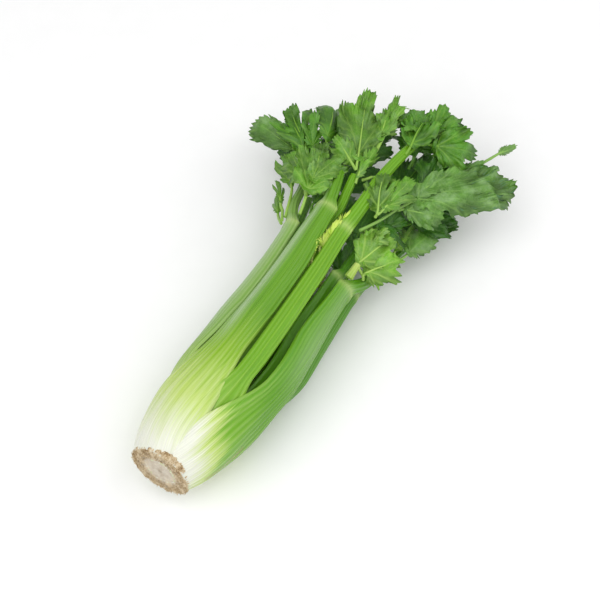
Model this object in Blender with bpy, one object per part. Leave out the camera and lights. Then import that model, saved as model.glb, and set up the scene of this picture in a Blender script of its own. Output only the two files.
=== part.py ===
"""A head of celery lying on a flat surface.

The head is modelled along +X in its own frame: the cut through the crown is at x = 0, the bundle's axis is
y = z = 0, and angles around it run from straight up (0) towards -Y (90). It is then laid down and moved so
that the origin is the middle of its footprint. Lengths below are millimetres; meshes are metres.
"""

from math import asin, cos, pi, radians, sin
from typing import NamedTuple

import bmesh
import bpy
from mathutils import Matrix, Vector

MM = 0.001

# ---- driving dimensions -------------------------------------------------------------------------------
# The crown: its cut face, the plate behind it, and the hub inside the bundle, which tapers to its end.
CUT_RADIUS = 23.5
CROWN_PLATE = 2.8
HUB_RADIUS = (11.8, 9.0)
HUB_LENGTH = 30.0
# Stalks start this far from the cut; those of the heart start just past the hub.
STALK_START = 3.3
HEART_START = HUB_LENGTH + 0.3
# Outer radius of the closed bundle at distances from the cut.
BUNDLE = [(0, 24.2), (4, 26.0), (12, 30.0), (22, 33.4), (40, 37.2), (60, 40.0), (85, 42.4), (112, 43.4),
          (135, 43.0), (160, 41.2), (190, 39.8), (220, 39.2), (250, 38.4), (290, 36.0)]
# How far the bundle bows sideways, towards -Y, at distances from the cut.
BOW = [(0, 0.0), (25, 0.5), (50, 1.7), (75, 3.7), (105, 5.9), (130, 5.7), (165, 4.6), (195, 3.2), (225, 1.0),
       (250, 0.0), (290, 0.0)]
# How far the stalks underneath sag at distances from the cut.
SAG = [(0, 0.0), (20, 0.1), (45, 0.7), (70, 1.1), (95, 0.6), (115, 0.3), (135, 0.9), (160, 2.1), (190, 3.4),
       (215, 4.0), (250, 4.2), (290, 4.2)]
# A stalk is thinner at its edges by this share. Where edges lap they lift, or dip, over the outer part of
# the stalk's half width, and the laps fade out as the stalks narrow.
EDGE_THINNING = 0.6
EDGE_LIFT = 1.35
EDGE_BAND = (0.45, 0.8)
LAP_FADE = (56, 90)
# Stretches of x over which stalks thicken and curl up; a shoulder is the last stretch before the joint.
THICKENING = (68, 125)
CURL_STRETCH = (85, 145)
SHOULDER = 60
STEM_FLATNESS = 0.85
STATIONS = [3.3, 9, 18, 32, 50, 68, 84, 100, 116, 134, 155, 180, 205]
REST_PITCH_DEG = 0.48
REST_ROLL_DEG = -1.15
# How many points span a stalk's outside, and as many its inside.
OUTER_POINTS = 7
LEAF_THICKNESS = 1.0
STEM_RADIUS = 1.5
CROWN_TAN = (0.46, 0.33, 0.19)
STALK_GREENS = {"outer": (0.20, 0.40, 0.05), "middle": (0.21, 0.46, 0.03), "inner": (0.17, 0.36, 0.03),
                "heart": (0.52, 0.68, 0.12)}
LEAF_GREEN = (0.12, 0.30, 0.04)
PALE_LEAF = (0.52, 0.68, 0.12)
STUB_GREEN = (0.58, 0.70, 0.25)


class Layer(NamedTuple):
    """What the stalks of one ring share: depth under the bundle's outside at base and top, thickness there,
    curl radius of the section at the top, where along the head the ring's depth changes, and what share of
    their wrap the stalks lose before the leaf joint."""

    depth: tuple
    thickness: tuple
    curl: float
    rise: tuple
    shoulder: float


LAYERS = {
    "outer": Layer((0.0, 0.0), (4.6, 6.4), 15.0, (0, 1), 0.3),
    "middle": Layer((5.6, 0.0), (3.9, 6.0), 14.0, (88, 130), 0.1),
    "inner": Layer((9.9, 13.0), (3.1, 4.8), 10.0, (40, 120), 0.2),
    "heart": Layer((28.8, 31.0), (3.0, 3.2), 7.0, (60, 120), 0.1),
}


class Stalk(NamedTuple):
    """One stalk: its ring, its direction at the base and top and the stretch where it turns, half the angle
    it wraps at the base and top and the stretch where it narrows, where its leaf joint is, which of its edges
    lap over a neighbour (+1) or under it (-1), and its leaf stem's path and radius."""

    layer: str
    direction: tuple
    turning: tuple
    wrap: tuple
    narrowing: tuple
    joint: float
    laps: tuple
    stem: tuple
    stem_radius: tuple


STALKS = {
    "outer_stalk_top": Stalk("outer", (-24.5, -14), (15, 100), (46.5, 21.5), (33, 106), 246, (1, -1),
                             ((262, 12, 36), (278, 17, 35), (292, 22, 30)), (5.4, 4.0)),
    "outer_stalk_right": Stalk("outer", (69, 70), (25, 95), (47.5, 24), (30, 95), 200, (1, 1),
                               ((216, -43, 5), (233, -45, 1), (250, -49, -4)), (5.6, 3.4)),
    "outer_stalk_under": Stalk("outer", (158, 160), (60, 120), (46, 19.5), (50, 100), 226, (-1, -1),
                               ((246, -11, -33), (268, -10, -31), (290, -9, -28)), (5.0, 3.4)),
    "outer_stalk_left": Stalk("outer", (247, 249), (60, 120), (46, 19.5), (50, 100), 222, (1, -1),
                              ((242, 37, -15), (260, 41, -18), (280, 46, -21)), (5.0, 3.4)),
    "middle_stalk_top": Stalk("middle", (25, 22), (60, 120), (42.5, 10.6), (28, 86), 236, (0, 0),
                              ((258, -15, 36), (284, -14, 36), (312, -15, 34), (340, -18, 31)), (5.8, 3.4)),
    "middle_stalk_right": Stalk("middle", (113, 117), (60, 120), (42.5, 18.2), (40, 92), 214, (0, 0),
                                ((236, -36, -18), (258, -40, -20), (280, -44, -22)), (4.8, 3.2)),
    "middle_stalk_under": Stalk("middle", (203, 202), (60, 120), (42.5, 18.6), (40, 92), 232, (0, 0),
                                ((252, 17, -32), (272, 20, -32), (292, 24, -30)), (4.8, 3.2)),
    "middle_stalk_left": Stalk("middle", (-68, -57), (60, 120), (42.5, 19), (40, 92), 226, (0, 0),
                               ((243, 37, 18), (262, 41, 17), (284, 49, 14)), (5.0, 3.2)),
    "inner_stalk_top": Stalk("inner", (-24, -20), (50, 140), (42, 22), (60, 120), 232, (0, 0),
                             ((250, 2, 26), (268, 4, 30), (283, 6, 34)), (4.4, 3.4)),
    "inner_stalk_right": Stalk("inner", (66, 73), (40, 90), (42, 24), (36, 84), 208, (0, 0),
                               ((226, -25, 9), (246, -27, 12), (268, -33, 12)), (4.2, 3.0)),
    "inner_stalk_under": Stalk("inner", (156, 150), (50, 140), (42, 28), (60, 120), 218, (0, 0),
                               ((240, -13, -14), (264, -14, -10), (290, -17, -6)), (4.2, 3.0)),
    "inner_stalk_left": Stalk("inner", (246, 250), (50, 140), (42, 30), (60, 120), 214, (0, 0),
                              ((240, 20, -5), (266, 24, 0), (294, 29, 4)), (4.2, 3.0)),
    "heart_stalk_1": Stalk("heart", (10, 10), (60, 120), (50, 44), (60, 120), 176, (0, 0),
                           ((186, -9, 15), (197, -12, 20)), (2.6, 1.8)),
    "heart_stalk_2": Stalk("heart", (130, 130), (60, 120), (50, 44), (60, 120), 160, (0, 0),
                           ((176, -9, -6), (192, -9, -4)), (2.4, 1.8)),
    "heart_stalk_3": Stalk("heart", (250, 250), (60, 120), (50, 44), (60, 120), 150, (0, 0),
                           ((168, 10, -3), (186, 12, 0)), (2.4, 1.8)),
}


class Leaflet(NamedTuple):
    """One leaflet with its own little stem: root, blade base and tip, blade width, roll of the blade about
    its length (0 faces up) and how far its middle arches out of the line from base to tip."""

    root: tuple
    base: tuple
    tip: tuple
    width: float
    roll: float
    arch: float


LEAFLETS = {
    # From the stalk on the left.
    "leaf_left_1": Leaflet((287, 53, 12), (294, 64, 9), (301, 112, 14), 25, 5, 4),
    "leaf_left_2": Leaflet((288, 52, 17), (296, 58, 20), (323, 90, 24), 30, -15, 4),
    "leaf_left_3": Leaflet((250, 43.5, 20.6), (255, 46, 22), (284, 72, 18), 17, 0, 3),
    "leaf_left_4": Leaflet((236, 43, 16), (241, 48, 15), (262, 64, 14), 9, 0, 1.5),
    "leaf_left_5": Leaflet((232, 44, 9), (237, 48, 6), (256, 61, 1), 9, 0, 1.5),
    # From the wide stalk on top.
    "leaf_top_1": Leaflet((228, 22, 35), (240, 24, 41), (297, 42, 42), 38, 5, 3),
    "leaf_top_2": Leaflet((294, 25, 30), (301, 31, 29), (355, 68, 18), 26, -30, 4),
    "leaf_top_3": Leaflet((294, 20, 28), (300, 22, 25), (345, 36, 14), 28, 10, 3),
    # From the inner stalk that comes up between the two on top.
    "leaf_centre_1": Leaflet((285, 6, 38), (290, 8, 41), (361, 40, 34), 40, 5, 4),
    "leaf_centre_2": Leaflet((285, 4, 31), (318, 3, 37), (367, 15, 33), 24, -10, 3),
    # From the bright stalk on top, which reaches the furthest.
    "leaf_bright_1": Leaflet((342, -18, 31), (348, -20, 30), (382, -37, 24), 36, 10, 4),
    "leaf_bright_2": Leaflet((342, -15, 30), (346, -12, 28), (373, 2, 20), 26, 0, 3),
    "leaf_bright_3": Leaflet((341, -21, 30), (343, -28, 29), (360, -62, 21), 34, 15, 4),
    "leaf_bright_4": Leaflet((239, -25, 34), (283, -39, 28), (359, -96, 6), 40, 15, 5),
    "leaf_bright_5": Leaflet((255, -29, 35), (257, -30, 39), (291, -15, 45), 30, 0, 3),
    # From the inner stalk on the right.
    "leaf_inner_right_1": Leaflet((270.5, -33, 14.6), (290, -42, 16), (348, -36, 20), 24, 25, 4),
    "leaf_inner_right_2": Leaflet((270.5, -36.2, 10.5), (284, -43, 3), (316, -68, -10), 34, 0, 4),
    "leaf_inner_right_3": Leaflet((270.5, -32.3, 10.4), (344, -50, 4), (392, -80, 10), 14, 70, 1),
    "leaf_inner_right_4": Leaflet((230, -29, 14), (234, -32, 24), (254, -41, 30), 18, 10, 2),
    # From the stalk on the right, above its cut side shoot.
    "leaf_right_1": Leaflet((213, -43.8, 14), (214, -43, 20), (241, -62, 19), 27, 10, 3),
    "leaf_right_2": Leaflet((252, -50, -4), (262, -54, -5), (293, -60, -7), 20, 20, 3),
    "leaf_right_3": Leaflet((252.4, -47, -1.8), (258, -45, -2.5), (291, -45, -5.5), 10, 40, 1),
    # From the stalks on the underside and the far side.
    "leaf_low_right_1": Leaflet((282, -45, -22), (290, -48, -21), (330, -61, -14), 28, 10, 4),
    "leaf_low_right_2": Leaflet((281, -43, -24), (289, -40, -25), (333, -32, -28), 26, -10, 4),
    "leaf_under_1": Leaflet((292, -9, -28), (299, -10, -26), (345, -16, -16), 34, 0, 4),
    "leaf_under_2": Leaflet((294, 25, -30), (301, 27, -29), (347, 29, -27), 30, 5, 4),
    "leaf_low_left_1": Leaflet((282.6, 48.5, -19.8), (289, 53, -20), (325, 88, -14), 34, -10, 5),
    "leaf_low_left_2": Leaflet((282.6, 45, -23.2), (290, 47, -24), (332, 57, -25), 22, 10, 4),
    "leaf_inner_under_1": Leaflet((292, -17, -6), (300, -19, -4), (352, -24, 6), 34, 0, 4),
    "leaf_inner_left_1": Leaflet((296, 30.8, 2.4), (303, 33, 5), (352, 56, 2), 34, -10, 4),
    "leaf_inner_left_2": Leaflet((296, 27.6, 6), (304, 24, 8), (348, 8, 14), 26, 10, 3),
    # The small pale leaves of the heart.
    "leaf_heart_1": Leaflet((198.6, -12.4, 21.6), (202, -12.4, 24), (231, -12, 29), 9, 0, 1),
    "leaf_heart_2": Leaflet((194, -9, -4), (197, -9, -3), (214, -11, 3), 8, 0, 1),
    "leaf_heart_3": Leaflet((188, 11.8, 0.4), (191, 10, 1), (208, 9, 5), 7, 0, 1),
}
# The stub left where a side shoot was cut off the right stalk's joint: foot, end and the two radii.
CUT_STUB = ((202, -37.5, 26), (214, -38.5, 30), (4.2, 3.4))


# ---- small helpers ------------------------------------------------------------------------------------
def ease(value, stretch):
    """0 before the stretch, 1 after it, and smooth between."""
    t = min(1.0, max(0.0, (value - stretch[0]) / (stretch[1] - stretch[0])))
    return t * t * (3 - 2 * t)


def mix(pair, share):
    return pair[0] + (pair[1] - pair[0]) * share


def along_curve(points, x):
    """The value at x on a smooth curve through (x, value) points."""
    i = max(k for k in range(len(points) - 1) if k == 0 or points[k][0] <= x)
    (x0, v0), (x1, v1) = points[i], points[i + 1]

    def slope(k):
        a, b = points[max(k - 1, 0)], points[min(k + 1, len(points) - 1)]
        return (b[1] - a[1]) / (b[0] - a[0])

    h = x1 - x0
    t = (x - x0) / h
    return ((2 * t**3 - 3 * t**2 + 1) * v0 + (t**3 - 2 * t**2 + t) * h * slope(i)
            + (3 * t**2 - 2 * t**3) * v1 + (t**3 - t**2) * h * slope(i + 1))


def middle(x, degrees):
    """The bundle's centre at x, as it counts for a stalk in the given direction."""
    below = max(0.0, -cos(radians(degrees)))
    return Vector((x, -along_curve(BOW, x), -along_curve(SAG, x) * below))


def outward(degrees):
    """The direction out of the bundle at an angle around it."""
    return Vector((0, -sin(radians(degrees)), cos(radians(degrees))))


def smooth_path(points, count):
    """count points along a Catmull-Rom curve through the given points."""
    points = [Vector(p) for p in points]
    ends = [points[0] * 2 - points[1], *points, points[-1] * 2 - points[-2]]
    made = []
    for k in range(count):
        at = k * (len(points) - 1) / (count - 1)
        i = min(int(at), len(points) - 2)
        t = at - i
        a, b, c, d = ends[i:i + 4]
        made.append(0.5 * ((2 * b) + (c - a) * t + (2 * a - 5 * b + 4 * c - d) * t * t
                           + (3 * b - a - 3 * c + d) * t**3))
    return made


def loft(name, rings, material):
    """A closed solid through rings of equally many points, with its ends filled."""
    mesh = bmesh.new()
    loops = [[mesh.verts.new(point * MM) for point in ring] for ring in rings]
    for one, two in zip(loops, loops[1:]):
        for i in range(len(one)):
            j = (i + 1) % len(one)
            mesh.faces.new((one[i], one[j], two[j], two[i]))
    mesh.faces.new(loops[0][::-1])
    mesh.faces.new(loops[-1])
    bmesh.ops.triangulate(mesh, faces=mesh.faces)
    bmesh.ops.recalc_face_normals(mesh, faces=mesh.faces)
    return add_object(name, mesh, material)


def add_object(name, mesh, material):
    data = bpy.data.meshes.new(name)
    mesh.to_mesh(data)
    mesh.free()
    data.materials.append(material)
    data.shade_smooth()
    data.set_sharp_from_angle(angle=radians(50))
    obj = bpy.data.objects.new(name, data)
    bpy.context.scene.collection.objects.link(obj)
    return obj


def surface(name, colour, roughness):
    material = bpy.data.materials.new(name)
    material.use_nodes = True
    shader = material.node_tree.nodes["Principled BSDF"]
    shader.inputs["Base Color"].default_value = (*colour, 1)
    shader.inputs["Roughness"].default_value = roughness
    return material


# ---- stalks -------------------------------------------------------------------------------------------
def stalk_section(stalk, x):
    """The crescent that a stalk's body shows at distance x, as points from its left edge over the outside
    to its right edge and back along the inside."""
    layer = LAYERS[stalk.layer]
    thickness = mix(layer.thickness, ease(x, THICKENING))
    radius = along_curve(BUNDLE, x) - mix(layer.depth, ease(x, layer.rise)) - thickness / 2
    curl = mix((radius, min(layer.curl, radius)), ease(x, CURL_STRETCH))
    wrap = radians(mix(stalk.wrap, ease(x, stalk.narrowing)))
    wrap *= 1 - layer.shoulder * ease(x, (stalk.joint - SHOULDER, stalk.joint))
    half = wrap + asin(min(0.98, (radius - curl) / curl * sin(wrap)))
    towards = mix(stalk.direction, ease(x, stalk.turning))
    out = outward(towards)
    side = outward(towards + 90)
    lap = EDGE_LIFT * (1 - ease(x, LAP_FADE))
    centre = middle(x, towards)

    def point(u, face):
        lift = lap * ease(abs(u), EDGE_BAND) * stalk.laps[u > 0]
        reach = curl + lift + face * thickness / 2 * (1 - EDGE_THINNING * u * u)
        return centre + out * (radius - curl + reach * cos(half * u)) + side * reach * sin(half * u)

    spread = [2 * i / (OUTER_POINTS - 1) - 1 for i in range(OUTER_POINTS)]
    return [point(u, 1) for u in spread] + [point(u, -1) for u in reversed(spread)]


def stem_rings(stalk):
    """Round sections along the leaf stem, which goes on from the stalk's joint."""
    layer = LAYERS[stalk.layer]
    out = outward(stalk.direction[1])
    radius = along_curve(BUNDLE, stalk.joint) - layer.depth[1] - layer.thickness[1] / 2
    start = middle(stalk.joint, stalk.direction[1]) + out * (radius - 1)
    path = smooth_path([start, *stalk.stem], 2 + 2 * len(stalk.stem))[1:]
    rings = []
    for i, centre in enumerate(path):
        ahead = (path[min(i + 1, len(path) - 1)] - path[max(i - 1, 0)]).normalized()
        up = (out - ahead * out.dot(ahead)).normalized()
        across = ahead.cross(up)
        size = mix(stalk.stem_radius, i / (len(path) - 1))
        turns = [(k + 0.5) / OUTER_POINTS * pi - pi / 2 for k in range(2 * OUTER_POINTS)]
        rings.append([centre + (up * cos(a) * STEM_FLATNESS + across * sin(a)) * size for a in turns])
    return rings


def build_stalk(name, stalk, material):
    first = HEART_START if stalk.layer == "heart" else STALK_START
    stations = [first, *[x for x in STATIONS if first + 3 < x < stalk.joint - 8], stalk.joint - 5, stalk.joint]
    rings = [stalk_section(stalk, x) for x in stations]
    return loft(name, rings + stem_rings(stalk), material)


# ---- crown --------------------------------------------------------------------------------------------
def build_crown(material):
    """The short stem that all stalks grow from: a plate with the cut face, and the hub inside the bundle."""
    profile = [(0, CUT_RADIUS - 1.5), (0.8, CUT_RADIUS), (CROWN_PLATE, CUT_RADIUS + 1),
               (CROWN_PLATE, HUB_RADIUS[0]), (HUB_LENGTH, HUB_RADIUS[1])]
    count = 32
    rings = []
    for x, radius in profile:
        rings.append([Vector((x, 0, 0)) + outward(360 * k / count) * radius for k in range(count)])
    return loft("root_crown", rings, material)


# ---- leaves -------------------------------------------------------------------------------------------
# Half width of a blade, as a share of its widest, at shares of its length.
BLADE_OUTLINE = [(0.0, 0.12), (0.12, 0.42), (0.3, 0.86), (0.48, 1.0), (0.66, 0.84), (0.84, 0.5), (1.0, 0.1)]
SIX_CORNERS = [(-1, -1), (0, -1), (1, -1), (1, 1), (0, 1), (-1, 1)]


def build_leaflet(name, leaflet, material):
    root, base, tip = (Vector(p) for p in (leaflet.root, leaflet.base, leaflet.tip))
    along = (tip - base).normalized()
    level = along.cross(Vector((0, 0, 1))).normalized()
    face = Matrix.Rotation(radians(leaflet.roll), 3, along) @ level.cross(along)
    centres = [root, root.lerp(base, 0.5)]
    centres += [base.lerp(tip, share) + face * leaflet.arch * sin(pi * share) for share, wide in BLADE_OUTLINE]
    halves = [STEM_RADIUS * 0.9] * 2 + [max(w * leaflet.width / 2, STEM_RADIUS) for share, w in BLADE_OUTLINE]
    rings = []
    for i, (centre, half) in enumerate(zip(centres, halves)):
        ahead = (centres[min(i + 1, len(centres) - 1)] - centres[max(i - 1, 0)]).normalized()
        up = (face - ahead * face.dot(ahead)).normalized()
        across = up.cross(ahead)
        thick = STEM_RADIUS if i < 2 else LEAF_THICKNESS / 2
        rings.append([centre + across * a * half + up * b * thick * (1 if a else 1.15)
                      for a, b in SIX_CORNERS])
    return loft(name, rings, material)


def build_stub(material):
    """The short cut end of a side shoot."""
    foot, end = Vector(CUT_STUB[0]), Vector(CUT_STUB[1])
    ahead = (end - foot).normalized()
    side = ahead.cross(Vector((0, 0, 1))).normalized()
    rings = []
    for share in (0.0, 0.5, 1.0):
        size = mix(CUT_STUB[2], share)
        turns = [2 * pi * k / 12 for k in range(12)]
        rings.append([foot.lerp(end, share) + (side * cos(a) + side.cross(ahead) * sin(a)) * size for a in turns])
    return loft("cut_side_shoot", rings, material)


# ---- laying the head down -----------------------------------------------------------------------------
def lay_down(objects):
    """Tips the head onto its underside and moves the middle of its footprint to the origin."""
    tilt = Matrix.Rotation(radians(REST_ROLL_DEG), 4, "X") @ Matrix.Rotation(radians(REST_PITCH_DEG), 4, "Y")
    for obj in objects:
        obj.data.transform(tilt)
    points = [v.co for obj in objects for v in obj.data.vertices]
    low = Vector([min(p[k] for p in points) for k in range(3)])
    high = Vector([max(p[k] for p in points) for k in range(3)])
    move = Matrix.Translation((-(low.x + high.x) / 2, -(low.y + high.y) / 2, -low.z))
    for obj in objects:
        obj.data.transform(move)


def main():
    for obj in list(bpy.data.objects):
        bpy.data.objects.remove(obj)
    made = [build_crown(surface("root_crown", CROWN_TAN, 0.85))]
    made += [build_stalk(name, stalk, surface(name, STALK_GREENS[stalk.layer], 0.35))
             for name, stalk in STALKS.items()]
    made += [build_leaflet(name, leaflet, surface(name, PALE_LEAF if "heart" in name else LEAF_GREEN, 0.5))
             for name, leaflet in LEAFLETS.items()]
    made.append(build_stub(surface("cut_side_shoot", STUB_GREEN, 0.5)))
    lay_down(made)


main()
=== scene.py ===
import random
from math import asin, cos, degrees, exp, pi, radians, sin
from typing import NamedTuple

import bpy
import numpy as np
from mathutils import Matrix, Vector, noise


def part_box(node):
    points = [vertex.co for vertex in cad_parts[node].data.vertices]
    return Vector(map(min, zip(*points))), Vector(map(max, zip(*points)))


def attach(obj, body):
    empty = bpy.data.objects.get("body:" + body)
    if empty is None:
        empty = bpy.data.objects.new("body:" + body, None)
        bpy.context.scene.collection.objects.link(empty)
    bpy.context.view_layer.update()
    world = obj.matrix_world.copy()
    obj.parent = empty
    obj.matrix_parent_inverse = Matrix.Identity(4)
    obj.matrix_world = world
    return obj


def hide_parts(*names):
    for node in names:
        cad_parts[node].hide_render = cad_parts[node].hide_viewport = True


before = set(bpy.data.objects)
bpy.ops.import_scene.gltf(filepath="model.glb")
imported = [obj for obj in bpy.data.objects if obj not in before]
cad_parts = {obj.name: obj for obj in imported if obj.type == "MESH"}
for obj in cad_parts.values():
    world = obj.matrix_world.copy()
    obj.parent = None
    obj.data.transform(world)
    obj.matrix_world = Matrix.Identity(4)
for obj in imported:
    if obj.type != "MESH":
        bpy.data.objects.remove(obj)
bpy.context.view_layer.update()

MM = 0.001

# ---- driving dimensions, in millimetres and degrees from the centre of the cut ----
# The crown: its cut face, the plate behind it, and the hub inside the bundle, which tapers to its end.
CUT_RADIUS = 23.5
CROWN_PLATE = 2.8
HUB_RADIUS = (11.8, 9.0)
HUB_LENGTH = 30.0
# How far from the cut the stalks start; those of the heart start just past the hub.
STALK_START = 0.5
HEART_START = HUB_LENGTH + 0.3
# Outer radius of the closed bundle at distances from the cut.
BUNDLE = [(0, 24.2), (4, 26.0), (12, 30.0), (22, 33.4), (40, 37.2), (60, 40.0), (85, 42.4), (112, 43.4),
          (135, 43.0), (160, 41.2), (190, 39.8), (220, 39.2), (250, 38.4), (290, 36.0)]
# How far the bundle bows sideways, towards -Y, at distances from the cut.
BOW = [(0, 0.0), (25, 0.5), (50, 1.7), (75, 3.7), (105, 5.9), (130, 5.7), (165, 4.6), (195, 3.2), (225, 1.0),
       (250, 0.0), (290, 0.0)]
# How far the stalks underneath sag at distances from the cut.
SAG = [(0, 0.0), (20, 0.1), (45, 0.7), (70, 1.1), (95, 0.6), (115, 0.3), (135, 0.9), (160, 2.1), (190, 3.4),
       (215, 4.0), (250, 4.2), (290, 4.2)]
# A stalk is thinner at its edges by this share. Where edges lap they lift, or dip, over the outer part of
# the stalk's half width, and the laps fade out as the stalks narrow.
EDGE_THINNING = 0.6
EDGE_LIFT = 1.35
EDGE_BAND = (0.45, 0.8)
LAP_FADE = (56, 90)
# Stretches of x over which stalks thicken and curl up; a shoulder is the last stretch before the joint.
THICKENING = (68, 125)
CURL_STRETCH = (85, 145)
SHOULDER = 60
STEM_FLATNESS = 0.85
# How the head tips as it comes to rest.
REST_PITCH_DEG = 0.48
REST_ROLL_DEG = -1.15


class Layer(NamedTuple):
    """What the stalks of one ring share: depth under the bundle's outside at base and top, thickness there,
    curl radius of the section at the top, where along the head the ring's depth changes, and what share of
    their wrap the stalks lose before the leaf joint."""

    depth: tuple
    thickness: tuple
    curl: float
    rise: tuple
    shoulder: float


LAYERS = {
    "outer": Layer((0.0, 0.0), (4.6, 6.4), 15.0, (0, 1), 0.3),
    "middle": Layer((5.6, 0.0), (3.9, 6.0), 14.0, (88, 130), 0.1),
    "inner": Layer((9.9, 13.0), (3.1, 4.8), 10.0, (40, 120), 0.2),
    "heart": Layer((28.8, 31.0), (3.0, 3.2), 7.0, (60, 120), 0.1),
}


class Stalk(NamedTuple):
    """One stalk: its ring, its direction at the base and top and the stretch where it turns, half the angle
    it wraps at the base and top and the stretch where it narrows, where its leaf joint is, its leaf stem's
    path and radius, and which of its edges lap over a neighbour (+1) or under it (-1)."""

    layer: str
    direction: tuple
    turning: tuple
    wrap: tuple
    narrowing: tuple
    joint: float
    stem: tuple
    stem_radius: tuple
    laps: tuple = (0, 0)


# The stalks of each ring, by where they stand in it.
STALKS_OF_RING = {
    "outer": {
        "top": ((-24.5, -14), (15, 100), (46.5, 21.5), (33, 106), 246,
            ((262, 12, 36), (278, 17, 35), (292, 22, 30)), (5.4, 4.0), (1, -1)),
        "right": ((69, 70), (25, 95), (47.5, 24), (30, 95), 200,
            ((216, -43, 5), (233, -45, 1), (250, -49, -4)), (5.6, 3.4), (1, 1)),
        "under": ((158, 160), (60, 120), (46, 19.5), (24, 80), 226,
            ((246, -11, -33), (268, -10, -31), (290, -9, -28)), (5.0, 3.4), (-1, -1)),
        "left": ((247, 249), (60, 120), (46, 19.5), (50, 100), 222,
            ((242, 37, -15), (260, 41, -18), (280, 46, -21)), (5.0, 3.4), (1, -1)),
    },
    "middle": {
        "top": ((25, 22), (60, 120), (42.5, 10.6), (28, 86), 236,
            ((258, -15, 36), (284, -14, 36), (312, -15, 34), (340, -18, 31)), (5.8, 3.4)),
        "right": ((113, 117), (60, 120), (42.5, 18.2), (40, 92), 214,
            ((236, -36, -18), (258, -40, -20), (280, -44, -22)), (4.8, 3.2)),
        "under": ((203, 202), (60, 120), (42.5, 18.6), (40, 92), 232,
            ((252, 17, -32), (272, 20, -32), (292, 24, -30)), (4.8, 3.2)),
        "left": ((-68, -57), (60, 120), (42.5, 19), (40, 92), 226,
            ((243, 37, 18), (262, 41, 17), (284, 49, 14)), (5.0, 3.2)),
    },
    "inner": {
        "top": ((-24, -20), (50, 140), (42, 22), (60, 120), 232,
            ((250, 2, 26), (268, 4, 30), (283, 6, 34)), (4.4, 3.4)),
        "right": ((66, 73), (40, 90), (42, 24), (36, 84), 208,
            ((226, -25, 9), (246, -27, 12), (268, -33, 12)), (4.2, 3.0)),
        "under": ((156, 150), (50, 140), (42, 28), (60, 120), 218,
            ((240, -13, -14), (264, -14, -10), (290, -17, -6)), (4.2, 3.0)),
        "left": ((246, 250), (50, 140), (42, 30), (60, 120), 214,
            ((240, 20, -5), (266, 24, 0), (294, 29, 4)), (4.2, 3.0)),
    },
    "heart": {
        "1": ((10, 10), (60, 120), (50, 44), (60, 120), 176, ((186, -9, 15), (197, -12, 20)), (2.6, 1.8)),
        "2": ((130, 130), (60, 120), (50, 44), (60, 120), 160, ((176, -9, -6), (192, -9, -4)), (2.4, 1.8)),
        "3": ((250, 250), (60, 120), (50, 44), (60, 120), 150, ((168, 10, -3), (186, 12, 0)), (2.4, 1.8)),
    },
}
STALKS = {f"{ring}_stalk_{where}": Stalk(ring, *facts)
          for ring, stalks in STALKS_OF_RING.items() for where, facts in stalks.items()}


class Blade(NamedTuple):
    """One blade with its own little stem: root, blade base and tip, blade width, roll of the blade about its
    length (0 faces up), how far its middle arches out of the line from base to tip, and the heel where its
    stem begins, if that is lower on the stalk than the root."""

    root: tuple
    base: tuple
    tip: tuple
    width: float
    roll: float
    arch: float
    heel: tuple = ()


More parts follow.
